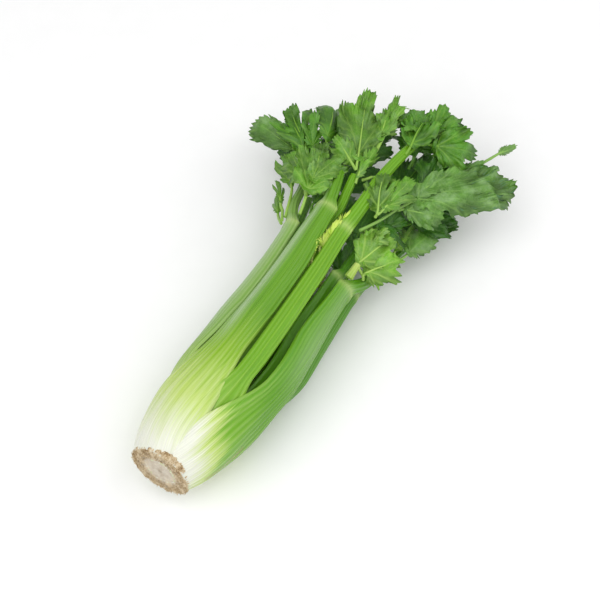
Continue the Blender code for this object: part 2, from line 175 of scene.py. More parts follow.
# The leaflets of each stalk, each a list of the blades that make it up. low_right and under grow underneath,
# low_left and inner_left on the far side.
LEAVES_OF_STALK = {
    "left": [
        [((287, 53, 12), (294, 64, 9), (301, 112, 14), 25, 5, 4)],
        [((288, 52, 17), (296, 58, 20), (323, 90, 24), 30, -15, 4),
         ((288, 52, 17), (294, 50, 22), (322, 66, 32), 18, -10, 3),
         ((288, 52, 17), (290, 56, 18), (310, 84, 26), 24, 10, 4)],
        [((250, 43.5, 20.6), (255, 46, 22), (284, 72, 18), 17, 0, 3, (229, 36, 20))],
        [((236, 43, 16), (241, 48, 15), (262, 64, 14), 9, 0, 1.5, (225, 36.5, 20))],
        [((232, 44, 9), (237, 48, 6), (256, 61, 1), 9, 0, 1.5, (226, 38, 14))],
    ],
    "top": [
        [((228, 22, 35), (240, 24, 41), (297, 42, 42), 38, 5, 3),
         ((240, 24, 41), (249, 28, 41), (266.5, 9.7, 38), 16, 10, 2),
         ((240, 24, 41), (251, 29.5, 41), (295, 20.5, 40), 27, 10, 4),
         ((240, 24, 41), (252, 32, 36), (280, 62, 30), 24, -10, 3)],
        [((294, 25, 30), (301, 31, 29), (355, 68, 18), 26, -30, 4),
         ((294, 25, 30), (298, 42, 34), (347, 63, 27), 20, 30, 5),
         ((294, 25, 30), (304, 23, 30), (342, 39, 30), 22, -20, 4)],
        [((294, 20, 28), (300, 22, 25), (345, 36, 14), 28, 10, 3)],
    ],
    "centre": [
        [((285, 6, 38), (290, 8, 41), (361, 40, 34), 40, 5, 4),
         ((285, 6, 38), (286, 10, 42), (300, 34, 42), 20, 5, 3)],
        [((285, 4, 31), (318, 3, 37), (367, 15, 33), 24, -10, 3),
         ((285, 4, 31), (290, 3, 36), (313, 4, 39), 13, 20, 3),
         ((310, 3, 36), (323, 5.6, 36), (350, 14, 38), 24, 0, 3),
         ((284, 0, 30), (289, -7, 34), (285, -21, 34), 14, 20, 2),
         ((276, 1, 34), (279, 1.7, 36), (304, 5, 38), 12, -20, 2)],
    ],
    "bright": [
        [((342, -18, 31), (348, -20, 30), (382, -37, 24), 36, 10, 4),
         ((340, -18, 32), (343, -19, 34), (368, -24, 34), 20, -20, 3),
         ((342, -18, 31), (350, -24, 30), (372, -48, 27), 24, 25, 4),
         ((320, -18, 35), (325.6, -18.8, 38), (363.6, -14.2, 36), 30, 0, 3)],
        [((342, -15, 30), (346, -12, 28), (373, 2, 20), 26, 0, 3),
         ((341, -14, 32), (342, -16, 34), (356, 8, 30), 20, 10, 3),
         ((341, -14, 32), (350, -22, 29), (377, -26, 26), 18, -10, 3)],
        [((341, -21, 30), (343, -28, 29), (360, -62, 21), 34, 15, 4),
         ((343, -28, 29), (349, -31, 28), (341, -52, 13), 24, 20, 4),
         ((343, -28, 29), (347, -40, 24), (338, -46, 11), 10, 60, 2)],
        [((239, -25, 34), (283, -39, 28), (359, -96, 6), 40, 15, 5),
         ((283, -39, 28), (290, -42, 25), (318, -50, 27), 20, -15, 3),
         ((276, -37, 26), (280, -39, 24), (294, -68, 18), 20, 25, 3)],
        [((255, -29, 35), (257, -30, 39), (291, -15, 45), 30, 0, 3),
         ((256, -30, 38), (260, -31.7, 39), (300, -36.5, 37), 26, 5, 4),
         ((262, -27, 36), (266, -20, 35), (296, -12, 36), 12, 30, 3)],
    ],
    "inner_right": [
        [((270.5, -33, 14.6), (290, -42, 16), (348, -36, 20), 24, 25, 4),
         ((290, -42, 16), (308, -38, 16), (344, -50, 12), 24, 10, 4)],
        [((270.5, -36.2, 10.5), (284, -43, 3), (316, -68, -10), 34, 0, 4),
         ((262, -30, 10), (259, -27, 18), (263, -54, 10), 22, -20, 3),
         ((262, -30, 10), (262, -33, 12), (288, -33, 16), 24, 10, 3)],
        [((270.5, -32.3, 10.4), (340, -47, 4), (367, -65, 7), 10, 60, 1),
         ((344, -50, 4), (378, -71, 8.4), (392, -80, 10), 10, 60, 1)],
        [((230, -29, 14), (234, -32, 24), (254, -41, 30), 18, 10, 2)],
    ],
    "right": [
        [((213, -43.8, 14), (214, -43, 20), (241, -62, 19), 27, 10, 3),
         ((214, -43, 18), (218, -35, 22), (252, -48, 25), 32, 0, 4),
         ((214, -43, 18), (218.3, -41.8, 18), (225.3, -58.9, 14), 18, 10, 2)],
        [((252, -50, -4), (262, -54, -5), (293, -60, -7), 20, 20, 3)],
        [((252.4, -47, -1.8), (258, -45, -2.5), (291, -45, -5.5), 10, 40, 1)],
    ],
    "low_right": [
        [((282, -45, -22), (290, -48, -21), (330, -61, -14), 28, 10, 4)],
        [((281, -43, -24), (289, -40, -25), (333, -32, -28), 26, -10, 4)],
    ],
    "under": [
        [((292, -9, -28), (299, -10, -26), (345, -16, -16), 34, 0, 4),
         ((236, -15, 0), (240, -15.3, 6), (263.4, -9, 8), 18, 0, 2),
         ((240, -17, 2), (246.2, -17.1, 8), (282.1, -12.3, 12), 26, 0, 3)],
        [((294, 25, -30), (301, 27, -29), (347, 29, -27), 30, 5, 4)],
    ],
    "low_left": [
        [((282.6, 48.5, -19.8), (289, 53, -20), (325, 88, -14), 34, -10, 5)],
        [((282.6, 45, -23.2), (290, 47, -24), (332, 57, -25), 22, 10, 4)],
    ],
    "inner_under": [
        [((292, -17, -6), (300, -19, -4), (352, -24, 6), 34, 0, 4),
         ((326, -18, 10), (334.8, -18.2, 16), (357.7, 3.6, 18), 26, 0, 3),
         ((330, -18, 8), (342.6, -16, 14), (364.6, -23.7, 12), 24, 0, 3),
         ((226, -13, -10), (214, -20, 2), (243, -19, 6), 26, 0, 2)],
    ],
    "inner_left": [
        [((296, 30.8, 2.4), (303, 33, 5), (352, 56, 2), 34, -10, 4)],
        [((296, 27.6, 6), (304, 24, 8), (348, 8, 14), 26, 10, 3),
         ((250, 0, 8), (256.2, 0.6, 14), (280.2, 11.1, 18), 18, 0, 2),
         ((243, 22, 18), (249.1, 23.4, 24), (270.2, 16.3, 24), 18, 0, 2)],
    ],
    "heart": [
        [((198.6, -12.4, 21.6), (202, -12.4, 24), (231, -12, 29), 9, 0, 1),
         ((192, -4, 22), (192, -3, 27), (206, -1, 31), 8, 40, 1),
         ((200, -6, 24), (201, -5, 29), (217, -2, 33), 9, -30, 1),
         ((210, -8, 24), (211, -6, 30), (228, -5, 34), 9, 30, 1),
         ((220, -10, 26), (222, -9, 31), (240, -8, 36), 9, -20, 1),
         ((230, -10, 28), (233, -9, 33), (250, -13, 38), 9, 20, 1)],
        [((194, -9, -4), (197, -9, -3), (214, -11, 3), 8, 0, 1)],
        [((188, 11.8, 0.4), (191, 10, 1), (208, 9, 5), 7, 0, 1)],
    ],
}
LEAFLETS = {f"leaf_{stalk}_{k}": [Blade(*facts) for facts in blades]
            for stalk, leaves in LEAVES_OF_STALK.items() for k, blades in enumerate(leaves, 1)}
# The stub left where a side shoot was cut off the right stalk's joint: foot, end and the two radii.
CUT_STUB = ((202, -37.5, 26), (214, -38.5, 30), (4.2, 3.4))


# ---- small helpers ----
def ease(value, stretch):
    """0 before the stretch, 1 after it, and smooth between."""
    t = min(1.0, max(0.0, (value - stretch[0]) / (stretch[1] - stretch[0])))
    return t * t * (3 - 2 * t)


def mix(pair, share):
    """The value a share of the way from the first of the pair to the second."""
    return pair[0] + (pair[1] - pair[0]) * share


def along_curve(points, x):
    """The value at x on a smooth curve through (x, value) points."""
    i = max(k for k in range(len(points) - 1) if k == 0 or points[k][0] <= x)
    (x0, v0), (x1, v1) = points[i], points[i + 1]

    def slope(k):
        a, b = points[max(k - 1, 0)], points[min(k + 1, len(points) - 1)]
        return (b[1] - a[1]) / (b[0] - a[0])

    h = x1 - x0
    t = (x - x0) / h
    return ((2 * t**3 - 3 * t**2 + 1) * v0 + (t**3 - 2 * t**2 + t) * h * slope(i)
            + (3 * t**2 - 2 * t**3) * v1 + (t**3 - t**2) * h * slope(i + 1))


def middle(x, angle):
    """The bundle's centre at x, as it counts for a stalk in the given direction."""
    below = max(0.0, -cos(radians(angle)))
    return Vector((x, -along_curve(BOW, x), -along_curve(SAG, x) * below))


def outward(angle):
    """The direction out of the bundle at an angle around it."""
    return Vector((0, -sin(radians(angle)), cos(radians(angle))))


def smooth_path(points, count):
    """count points along a Catmull-Rom curve through the given points."""
    points = [Vector(p) for p in points]
    ends = [points[0] * 2 - points[1], *points, points[-1] * 2 - points[-2]]
    made = []
    for k in range(count):
        at = k * (len(points) - 1) / (count - 1)
        i = min(int(at), len(points) - 2)
        t = at - i
        a, b, c, d = ends[i:i + 4]
        made.append(0.5 * ((2 * b) + (c - a) * t + (2 * a - 5 * b + 4 * c - d) * t * t
                           + (3 * b - a - 3 * c + d) * t**3))
    return made


# ---- the head's frame in the scene ----
TILT = Matrix.Rotation(radians(REST_ROLL_DEG), 3, "X") @ Matrix.Rotation(radians(REST_PITCH_DEG), 3, "Y")


def crown_profile():
    """The crown's outline as (distance from the cut, radius)."""
    return [(0, CUT_RADIUS - 1.5), (0.8, CUT_RADIUS), (CROWN_PLATE, CUT_RADIUS + 1),
            (CROWN_PLATE, HUB_RADIUS[0]), (HUB_LENGTH, HUB_RADIUS[1])]


def find_shift():
    """Where the head's own origin, the centre of its cut, lies in the scene: its crown, tipped to rest, is
    matched with the box of the crown in the frame."""
    rim = [TILT @ (Vector((x, 0, 0)) + outward(360 * k / 32) * r) * MM for x, r in crown_profile()
           for k in range(32)]
    low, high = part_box("root_crown")
    return Vector([(low[k] + high[k] - min(p[k] for p in rim) - max(p[k] for p in rim)) / 2
                   for k in range(3)])


SHIFT = find_shift()


# ---- meshes ----
# Nothing reaches lower than this above the floor, in metres, and creases sharper than this stay sharp.
FLOOR_GAP = 0.0002
SHARP_FROM_DEG = 70


class Shape:
    """Points in head millimetres, faces, and named numbers for each point that the materials read."""

    def __init__(self):
        self.points, self.faces, self.numbers = [], [], {}

    def add(self, points, faces, **numbers):
        """Adds points and faces; numbers are one value, or one per point, for each name."""
        start, count = len(self.points), len(points)
        self.points += [tuple(p) for p in points]
        self.faces += [tuple(start + i for i in face) for face in faces]
        for key in {*self.numbers, *numbers}:
            kept = self.numbers.setdefault(key, [0.0] * start)
            value = numbers.get(key, 0.0)
            kept += [value] * count if isinstance(value, (int, float)) else [float(v) for v in value]

    def build(self, name, material, slot, replaces):
        """Makes the piece in the scene, in place of the named nodes."""
        turn = np.array(TILT)
        points = np.array(self.points) @ turn.T * MM + np.array(SHIFT)
        points[:, 2] = np.maximum(points[:, 2], FLOOR_GAP)
        mesh = bpy.data.meshes.new(name)
        mesh.from_pydata(points.tolist(), [], self.faces)
        for key, values in self.numbers.items():
            mesh.attributes.new(key, "FLOAT", "POINT").data.foreach_set("value", values)
        mesh.materials.append(material)
        mesh.shade_smooth()
        mesh.set_sharp_from_angle(angle=radians(SHARP_FROM_DEG))
        obj = bpy.data.objects.new(name, mesh)
        bpy.context.scene.collection.objects.link(obj)
        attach(obj, "root")
        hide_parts(*replaces)


def ring_faces(rows, columns):
    """Quads between rows of equally many points, each row a closed ring."""
    faces = []
    for i in range(rows - 1):
        for j in range(columns):
            k = (j + 1) % columns
            faces.append((i * columns + j, i * columns + k, (i + 1) * columns + k, (i + 1) * columns + j))
    return faces


def closed_faces(rows, columns):
    """ring_faces with the first and the last ring closed by a face."""
    last = (rows - 1) * columns
    return [*ring_faces(rows, columns), tuple(range(columns))[::-1], tuple(range(last, last + columns))]


def tube(path, radii, sides=8):
    """Points and faces of a round bar along a path, closed at both ends."""
    points, up = [], Vector((0, 0.3, 1))
    for i, centre in enumerate(path):
        ahead = (path[min(i + 1, len(path) - 1)] - path[max(i - 1, 0)]).normalized()
        across = ahead.cross(up).normalized()
        lift = across.cross(ahead)
        for k in range(sides):
            a = 2 * pi * k / sides
            points.append(centre + (across * cos(a) + lift * sin(a)) * radii[i])
    return points, closed_faces(len(path), sides)


def wander(rng, count, size):
    """A smooth random function of one number, as a sum of count waves."""
    waves = [(rng.uniform(0.5, 1.5), rng.uniform(0, 2 * pi), rng.uniform(0.4, 1)) for k in range(count)]
    total = sum(w[2] for w in waves)
    return lambda t: size * sum(a * np.sin(t * f * (k + 1) + p) for k, (f, p, a) in enumerate(waves)) / total


# ---- materials ----
def srgb(r, g, b):
    """A linear colour from 0-255 display values."""
    return tuple(c / 12.92 / 255 if c <= 10 else ((c / 255 + 0.055) / 1.055) ** 2.4 for c in (r, g, b))


class Graph:
    """A material's node tree with short calls for the nodes used here."""

    def __init__(self, name):
        self.material = bpy.data.materials.new(name)
        self.material.use_nodes = True
        self.tree = self.material.node_tree
        self.shader = self.tree.nodes["Principled BSDF"]

    def node(self, kind, *values, **settings):
        made = self.tree.nodes.new(kind)
        for key, value in settings.items():
            setattr(made, key, value)
        for socket, value in zip(made.inputs, values):
            self.feed(socket, value)
        return made

    def feed(self, socket, value):
        if value is None:
            return
        if hasattr(value, "is_output"):
            self.tree.links.new(value, socket)
        elif isinstance(value, tuple) and len(value) == 3 and socket.type == "RGBA":
            socket.default_value = (*value, 1)
        else:
            socket.default_value = value

    def set(self, **inputs):
        for key, value in inputs.items():
            self.feed(self.shader.inputs[key.replace("_", " ").title().replace("Ior", "IOR")], value)

    def number(self, name):
        return self.node("ShaderNodeAttribute", attribute_name=name).outputs["Fac"]

    def place(self):
        return self.node("ShaderNodeTexCoord").outputs["Object"]

    def math(self, operation, a, b):
        return self.node("ShaderNodeMath", a, b, operation=operation).outputs[0]

    def times(self, a, b):
        return self.math("MULTIPLY", a, b)

    def vector(self, x, y, z):
        return self.node("ShaderNodeCombineXYZ", x, y, z).outputs[0]

    def noise(self, vector, scale, detail=2.0, rough=0.5):
        made = self.node("ShaderNodeTexNoise", vector)
        for key, value in (("Scale", scale), ("Detail", detail), ("Roughness", rough)):
            made.inputs[key].default_value = value
        return made.outputs[0]

    def spread(self, value, low, high, to_low=0.0, to_high=1.0):
        made = self.node("ShaderNodeMapRange", value, low, high, to_low, to_high)
        made.clamp = True
        return made.outputs[0]

    def ramp(self, value, stops):
        made = self.node("ShaderNodeValToRGB", value)
        items = made.color_ramp.elements
        while len(items) < len(stops):
            items.new(0.5)
        for item, (at, colour) in zip(items, stops):
            item.position, item.color = at, (*colour, 1)
        return made.outputs[0]

    def blend(self, share, one, two, kind="MIX"):
        made = self.node("ShaderNodeMix", data_type="RGBA", blend_type=kind)
        self.feed(made.inputs[0], share)
        self.feed(made.inputs[6], one)
        self.feed(made.inputs[7], two)
        return made.outputs[2]

    def marked(self, colour, name, strength, other):
        """The colour with the other one over it where a named number of the points says so."""
        return self.blend(self.times(self.number(name), strength), colour, other)

    def bump(self, height, strength, distance):
        made = self.node("ShaderNodeBump")
        made.inputs["Strength"].default_value = strength
        made.inputs["Distance"].default_value = distance
        self.feed(made.inputs["Height"], height)
        self.feed(self.shader.inputs["Normal"], made.outputs[0])


# The colours along a stalk are spread over this length.
REACH = 300.0
# How far (mm) two patterns of streaks, one narrow and one broad, move those colours along the stalk.
STREAK_MOVES, BROAD_MOVES = 58, 40
# The second of these colours is a painted sheen: a greyish-green reflection painted on the stalks.
WHITE, SHEEN_PAINT_GREEN, CORK, PALE_RIB = srgb(229, 231, 216), srgb(168, 194, 146), srgb(150, 112, 60), srgb(196, 216, 132)


def stalk_material(name, seed, greens, blanch, rib_pale, gloss, slant=0.0, side_pale=0.0):
    """Blanched white at the butt, streaked pale between, then green, with paler ribs, and with a painted
    sheen:
    a band of greyish reflection painted on where the points say so. greens are the full
    green, the yellower green under it and the ribs' green; blanch is where white ends, where it is half
    way and where the full green starts, in mm from the cut; rib_pale is how much the ribs show; slant moves
    the blanching towards the cut on a stalk's right side, where side_pale makes the ribs paler still."""
    g = Graph(name)
    full, young, rib_green = (srgb(*colour) for colour in greens)
    along, around = g.number("along"), g.number("around")

    def streaks(along_scale, around_scale, offset, detail, rough=0.5):
        at = g.vector(g.times(along, along_scale), g.times(around, around_scale), seed + offset)
        return g.noise(at, 1.0, detail, rough)

    streak, broad = streaks(0.007, 0.7, 0, 4, 0.65), streaks(0.012, 0.1, 9, 2)
    fine = streaks(0.02, 2.6, 3, 3, 0.7)
    moved = along
    for pattern, reach in ((streak, STREAK_MOVES), (broad, BROAD_MOVES)):
        moved = g.math("ADD", moved, g.times(g.math("SUBTRACT", pattern, 0.5), reach))
    if slant:
        moved = g.math("ADD", moved, g.times(g.number("side"), slant))
    share = g.math("DIVIDE", moved, REACH)
    w, h, f = (b / REACH for b in blanch)
    ground = g.ramp(share, [(w * 0.4, WHITE), (w, srgb(219, 226, 190)), (h, srgb(186, 210, 104)), (f, young),
                            (f + 0.14, full), (0.95, full)])
    ribs = g.ramp(share, [(w * 0.6, WHITE), (h, srgb(224, 232, 182)), (f, PALE_RIB), (f + 0.16, rib_green),
                          (0.95, rib_green)])
    pale_side = g.math("ADD", rib_pale, g.times(g.spread(g.number("side"), 0.2, 1.0), side_pale))
    colour = g.marked(ground, "rib", pale_side, ribs)
    shade = g.spread(fine, 0.3, 0.7, 0.84, 1.1)
    grey = g.node("ShaderNodeCombineColor", shade, shade, shade).outputs[0]
    colour = g.blend(1.0, colour, grey, "MULTIPLY")
    # Painted sheen: a greyish-green band of reflection painted along the outer stalks, broken by the streaks.
    colour = g.marked(colour, "bloom", g.spread(streak, 0.3, 0.6, 0.4, 0.95), SHEEN_PAINT_GREEN)
    colour = g.marked(colour, "scar", g.spread(fine, 0.38, 0.55), CORK)
    colour = g.marked(colour, "edge", 0.3, ribs)
    colour = g.marked(colour, "node", 0.5, PALE_RIB)
    g.set(base_color=colour, roughness=g.spread(fine, 0.3, 0.75, gloss - 0.06, gloss + 0.12),
          subsurface_weight=0.06, subsurface_scale=0.002, specular_ior_level=0.4)
    g.shader.inputs["Subsurface Radius"].default_value = (0.7, 1.0, 0.3)
    g.bump(fine, 0.45, 0.0005)
    return g.material


# The cells of a leaf's net of fine veins to the metre, and the roughness of its skin.
CELLS_PER_METRE = 420
LEAF_ROUGHNESS = (0.39, 0.55)


def leaf_material(name, seed, top, under, vein, sheen):
    """Green in deeper and paler patches, with painted sheen, patches of greyish reflection, here and there as
    sheen says, painted shade in its low folds, and a net of fine veins.
    """
    g = Graph(name)
    top, under, vein = srgb(*top), srgb(*under), srgb(*vein)
    place = g.place()

    def patches(offset, scale, rough):
        moved = g.node("ShaderNodeMapping", place, (seed, offset, 0)).outputs[0]
        return g.noise(moved, scale, 3, rough)

    def tone(brightness):
        return tuple(c * brightness for c in top)

    patch, leaf_sheen_patch = patches(0, 55, 0.6), patches(7, 90, 0.65)
    cells = g.node("ShaderNodeTexVoronoi", place, feature="DISTANCE_TO_EDGE")
    cells.inputs["Scale"].default_value = CELLS_PER_METRE
    net = g.spread(cells.outputs[0], 0.0, 0.12, 1.0, 0.0)
    colour = g.blend(g.spread(patch, 0.35, 0.68), tone(0.62), tone(1.3))
    colour = g.marked(colour, "tone", 0.45, tone(1.5))
    # Painted sheen: patches of greyish reflection painted on the blade.
    colour = g.blend(g.spread(leaf_sheen_patch, 0.45, 0.66, 0.0, sheen), colour, srgb(140, 176, 118))
    colour = g.blend(g.times(net, 0.3), colour, vein)
    # Painted shade: the blade is darkened where it lies low, in its folds and the dips between its veins.
    colour = g.blend(g.spread(g.number("fold"), 0.3, 1.0, 0.0, 0.75), colour, tone(0.4))
    for mark, strength, other in (("side_vein", 0.4, vein), ("vein", 0.6, vein), ("under", 0.8, under),
                                  ("stem", 1.0, vein)):
        colour = g.marked(colour, mark, strength, other)
    g.set(base_color=colour, roughness=g.spread(patch, 0.3, 0.7, *LEAF_ROUGHNESS), specular_ior_level=0.5)
    g.bump(g.math("SUBTRACT", patch, g.times(net, 0.35)), 0.5, 0.0005)
    return g.material


def crown_material(name):
    """A pale heart inside a corky brown rim, with torn fibres."""
    g = Graph(name)
    place = g.place()
    rim, torn = g.number("rim"), g.number("torn")
    coarse = g.noise(place, 190, 5, 0.75)
    fine = g.noise(place, 1300, 4, 0.8)
    heart = g.blend(g.spread(coarse, 0.38, 0.62), srgb(204, 190, 168), srgb(228, 220, 204))
    heart = g.blend(g.spread(fine, 0.52, 0.7, 0, 0.6), heart, srgb(176, 152, 120))
    bark = g.ramp(g.math("ADD", g.times(coarse, 0.5), g.times(fine, 0.5)),
                  [(0.38, srgb(96, 66, 38)), (0.44, srgb(162, 132, 90)), (0.5, srgb(208, 186, 148)),
                   (0.58, srgb(234, 218, 188))])
    edge = g.spread(g.math("ADD", rim, g.times(g.math("SUBTRACT", coarse, 0.5), 1.3)), 0.42, 0.72)
    colour = g.blend(edge, heart, bark)
    colour = g.blend(torn, colour, g.blend(g.spread(fine, 0.4, 0.6), srgb(172, 138, 92), srgb(234, 220, 190)))
    g.set(base_color=colour, roughness=g.spread(fine, 0.3, 0.7, 0.75, 0.95), specular_ior_level=0.2)
    g.bump(g.math("ADD", coarse, g.times(fine, 0.6)), 0.9, 0.0012)
    return g.material


def floor_material():
    """A matt, almost even white."""
    g = Graph("floor")
    grain = g.noise(g.place(), 40, 2)
    colour = g.blend(grain, srgb(246, 246, 246), srgb(250, 250, 250))
    g.set(base_color=colour, roughness=0.7, specular_ior_level=0.2)
    return g.material


# ---- stalks ----
# Points over a stalk's outside and inside, and steps along its body, its joint and each part of its stem.
ACROSS, INSIDE = 88, 34
BODY_STEPS, JOINT_STEPS, STEM_STEPS = 84, 7, 10
# A stem takes over from the joint at this ring of its path, and this far (mm) past the joint.
STEM_FROM, JOINT_LENGTH = 5, 8
# How many ribs a stalk of each ring has, and how high they are.
RIBS = {"outer": (11, 0.55), "middle": (9, 0.5), "inner": (7, 0.4), "heart": (5, 0.3)}
# Stalks with fewer, bolder ribs.
BOLD_RIBS = {"middle_stalk_top": (5, 0.75)}
# Where across a stalk its lips begin to round off, how high and long the swelling at its joint is, and how
# far the stalk's outside wavers.
LIP_FROM = 0.9
NODE_HEIGHT, NODE_LENGTH = 0.9, 4.5
WAVER = 0.35


def rib_profile(rng, count):
    """Heights from 0 to 1 over a stalk's outside: narrow ridges, not quite evenly spaced."""
    centres = [(-1 + (k + 0.5 + rng.uniform(-0.16, 0.16)) * 2 / count, rng.uniform(0.6, 1))
               for k in range(count)]

    def profile(u):
        return sum(size * np.exp(-(((u - at) * count / 0.56) ** 2)) for at, size in centres)

    return profile


# Stalks that rise to the outside sooner than their ring does, which closes the seams beside them.
EARLY_RISE = {"middle_stalk_left": (30, 84), "middle_stalk_top": (38, 82)}
# Stalks that are turned and widened a little in their upper part, by these degrees, to close a seam.
WIDENED = {"inner_stalk_top": (7, 7), "inner_stalk_right": (-2, 3)}
WIDENING = (40, 90)
# Near the cut the stalks have grown together: they spread a little wider there, and lap less.
BUTT, BUTT_SPREAD = (24, 58), 4.0
# Where a stalk's band of painted sheen, a greyish reflection painted on, lies across it (-1 to 1), how wide
# the band is and how strong.
SHEEN_PAINT_BANDS = {"outer_stalk_top": (-0.42, 0.26, 1.0), "outer_stalk_right": (-0.1, 0.4, 0.35),
         "middle_stalk_left": (-0.1, 0.6, 0.8), "outer_stalk_left": (0.0, 0.5, 0.6),
         "outer_stalk_under": (0.0, 0.5, 0.6)}
# A crack in the skin of one stalk: how far across it (-1 to 1), how wide, and from where to where along it.
CRACKED, CRACK_AT, CRACK_WIDTH, CRACK_STRETCH = "outer_stalk_right", 0.55, 0.05, (14, 50)


def fine_section(name, stalk, x, ribs, drift):
    """A stalk's section at x, with ribs and rounded lips, and the numbers that its material reads."""
    layer = LAYERS[stalk.layer]
    thickness = mix(layer.thickness, ease(x, THICKENING))
    rise = EARLY_RISE.get(name, layer.rise)
    butt = 1 - ease(x, BUTT)
    radius = along_curve(BUNDLE, x) - mix(layer.depth, ease(x, rise)) - thickness / 2
    curl = mix((radius, min(layer.curl, radius)), ease(x, CURL_STRETCH))
    turned, widened = (d * ease(x, WIDENING) for d in WIDENED.get(name, (0, 0)))
    wrap = radians(mix(stalk.wrap, ease(x, stalk.narrowing)) + BUTT_SPREAD * butt + widened)
    wrap *= 1 - layer.shoulder * ease(x, (stalk.joint - SHOULDER, stalk.joint))
    half = wrap + asin(min(0.98, (radius - curl) / curl * sin(wrap)))
    towards = mix(stalk.direction, ease(x, stalk.turning)) + turned
    out, side = np.array(outward(towards)), np.array(outward(towards + 90))
    lap = EDGE_LIFT * (1 - ease(x, LAP_FADE)) * (1 - 0.75 * butt)
    centre = np.array(middle(x, towards))
    t_out, t_in = np.linspace(-1, 1, ACROSS), np.linspace(1, -1, INSIDE + 2)[1:-1]
    u = np.sin(np.concatenate([t_out, t_in]) * pi / 2 * 0.999)
    face = np.concatenate([np.ones(ACROSS), -np.ones(INSIDE)])
    lip = np.clip((np.abs(u) - LIP_FROM) / (1 - LIP_FROM), 0, 1)
    thick = thickness / 2 * (1 - EDGE_THINNING * u * u) * np.sqrt(np.clip(1 - lip**2, 0, 1))
    t = np.clip((np.abs(u) - EDGE_BAND[0]) / (EDGE_BAND[1] - EDGE_BAND[0]), 0, 1)
    lift = lap * t * t * (3 - 2 * t) * np.where(u > 0, stalk.laps[1], stalk.laps[0])
    rib = ribs(u + drift(x / 60) * 0.02) * np.where(face > 0, 1, 0.15)
    strength = BOLD_RIBS.get(name, RIBS[stalk.layer])[1] * (0.35 + 0.65 * ease(x, (10, 80)))
    node = NODE_HEIGHT * np.exp(-(((x - stalk.joint + 2) / NODE_LENGTH) ** 2))
    reach = curl + lift + face * (thick + node * (face > 0)) + strength * (rib - 0.4) * (1 - lip) * (face > 0)
    reach = reach + drift(x / 45 + u * 2) * WAVER * (1 - lip)
    points = (centre + np.outer(radius - curl + reach * np.cos(half * u), out)
              + np.outer(reach * np.sin(half * u), side))
    # The band of painted sheen across the stalk's outside.
    at, width, power = SHEEN_PAINT_BANDS.get(name, (0, 1, 0))
    bloom = power * ease(x, (84, 130)) * np.exp(-(((u - at) / width) ** 2)) * (face > 0)
    return points, {"around": half * u * curl, "rib": rib, "edge": lip * (1 - 0.8 * butt), "bloom": bloom,
                    "side": u * (face > 0)}


def stem_path(stalk):
    """The middle of a stalk's leaf stem, from inside the joint."""
    layer = LAYERS[stalk.layer]
    out = outward(stalk.direction[1])
    radius = along_curve(BUNDLE, stalk.joint) - layer.depth[1] - layer.thickness[1] / 2
    start = middle(stalk.joint, stalk.direction[1]) + out * (radius - 1)
    return smooth_path([start, *stalk.stem], 6 + STEM_STEPS * len(stalk.stem))


def stalk_shape(name, stalk, seed):
    """The whole stalk as one skin: body, joint and leaf stem."""
    rng = random.Random(seed)
    ribs, drift = rib_profile(rng, BOLD_RIBS.get(name, RIBS[stalk.layer])[0]), wander(rng, 3, 1.0)
    first = HEART_START if stalk.layer == "heart" else STALK_START
    body = [first + (stalk.joint - first) * k / BODY_STEPS for k in range(BODY_STEPS + 1)]
    rings = [fine_section(name, stalk, x, ribs, drift) for x in body]
    path = stem_path(stalk)
    out = outward(stalk.direction[1])
    angles = np.concatenate([np.sin(np.linspace(-1, 1, ACROSS) * pi / 2) * pi / 2,
                             pi / 2 + np.linspace(0, 1, INSIDE + 2)[1:-1] * pi])
    stems = []
    for i in range(STEM_FROM, len(path)):
        ahead = (path[min(i + 1, len(path) - 1)] - path[i - 1]).normalized()
        up = (out - ahead * out.dot(ahead)).normalized()
        across = ahead.cross(up)
        share = i / (len(path) - 1)
        size = mix(stalk.stem_radius, share) * (1 + 0.06 * np.cos(angles * 9)) * (1 if share < 0.96 else 0.85)
        stems.append(np.array(path[i]) + np.outer(np.cos(angles) * STEM_FLATNESS * size, np.array(up))
                     + np.outer(np.sin(angles) * size, np.array(across)))
    points, numbers = [], {}

    def put(ring, x, marks, fade):
        """Adds a ring of points at x with the numbers that the material reads there."""
        points.extend(ring)
        scar = np.exp(-(((marks["side"] - CRACK_AT) / CRACK_WIDTH) ** 2)) * (name == CRACKED)
        values = {key: mark * fade for key, mark in marks.items()}
        values["along"] = np.full(len(ring), x)
        values["node"] = np.full(len(ring), exp(-(((x - stalk.joint) / 3.2) ** 2)))
        values["scar"] = scar * (CRACK_STRETCH[0] < x < CRACK_STRETCH[1])
        for key, value in values.items():
            numbers.setdefault(key, []).extend(value)

    for x, (ring, marks) in zip(body, rings):
        put(ring, x, marks, 1)
    last, marks = rings[-1]
    for k in range(1, JOINT_STEPS):
        s = ease(k / JOINT_STEPS, (0, 1))
        put(last * (1 - s) + stems[0] * s, stalk.joint + JOINT_LENGTH * k / JOINT_STEPS, marks, 1 - 0.6 * s)
    for k, ring in enumerate(stems):
        put(ring, stalk.joint + JOINT_LENGTH + 1.5 * k, marks, 0.4)
    width = ACROSS + INSIDE
    shape = Shape()
    shape.add(points, closed_faces(len(points) // width, width), **numbers)
    return shape


